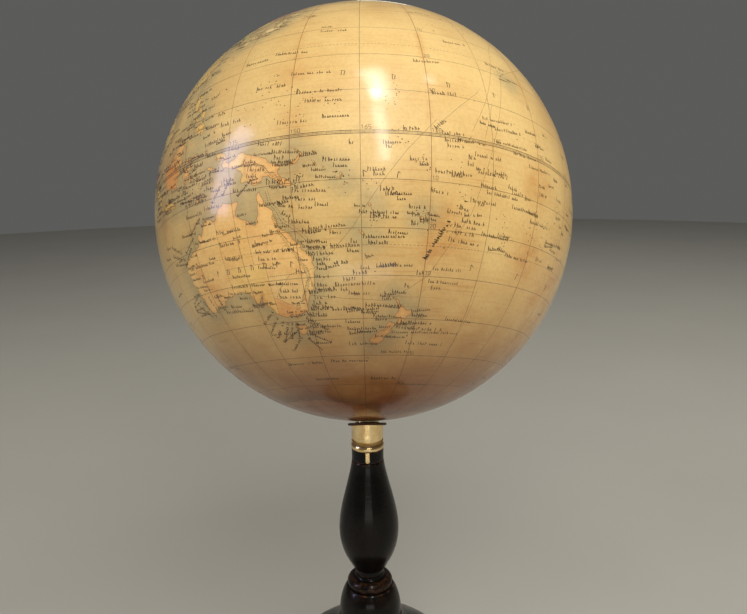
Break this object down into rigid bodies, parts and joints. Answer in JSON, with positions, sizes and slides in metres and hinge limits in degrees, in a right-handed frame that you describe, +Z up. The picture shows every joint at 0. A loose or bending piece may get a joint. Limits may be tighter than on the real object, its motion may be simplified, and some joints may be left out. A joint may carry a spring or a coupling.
{
  "type": "terrestrial table globe",
  "caption": "Terrestrial table globe turning on an inclined spindle, with a brass ferrule and a turned black wooden baluster stand on a domed foot.",
  "frame": {"origin": "centre of the foot's underside, on the table, below the turned column", "axes": "+Z up along the column; the globe's axis leans 23.5 degrees back towards +Y; the meridian 165 degrees east faces -Y at rest"},
  "size_m": [0.2286, 0.2306, 0.3949],
  "materials": {
    "map_paper": "gloss",
    "ebonised_wood": "gloss",
    "brass": "polished",
    "steel": "satin",
    "leather": "matte",
    "baize": "matte",
    "cast_iron": "matte",
    "pulp_board": "matte",
    "plaster": "matte",
    "linen": "matte",
    "bare_wood": "matte"
  },
  "bodies": {
    "stand": {"foot": "ebonised_wood", "baize_pad": "baize", "ballast_ring": "cast_iron", "ballast_screws": "steel", "column_washer": "steel", "column_screw": "steel", "column": "ebonised_wood", "ferrule": "brass", "ferrule_pins": "brass", "spindle": "steel", "leather_washer": "leather", "nut_washer": "brass", "finial": "brass"},
    "globe": {"shell_north": "pulp_board", "shell_south": "pulp_board", "seam_strip": "linen", "plaster_coat": "plaster", "gore_01": "map_paper", "gore_02": "map_paper", "gore_03": "map_paper", "gore_04": "map_paper", "gore_05": "map_paper", "gore_06": "map_paper", "gore_07": "map_paper", "gore_08": "map_paper", "gore_09": "map_paper", "gore_10": "map_paper", "gore_11": "map_paper", "gore_12": "map_paper", "calotte_north": "map_paper", "calotte_south": "map_paper", "pillar": "bare_wood", "block_north": "bare_wood", "block_south": "bare_wood", "nails_north": "steel", "nails_south": "steel", "bush_north": "brass", "bush_south": "brass"}
  },
  "joints": [
    {"name": "globe_spin", "type": "hinge", "parent": "stand", "child": "globe", "pos_m": [0, 0.04777, 0.27872], "axis": [0, 0.3987, 0.9171], "continuous": true}
  ]
}
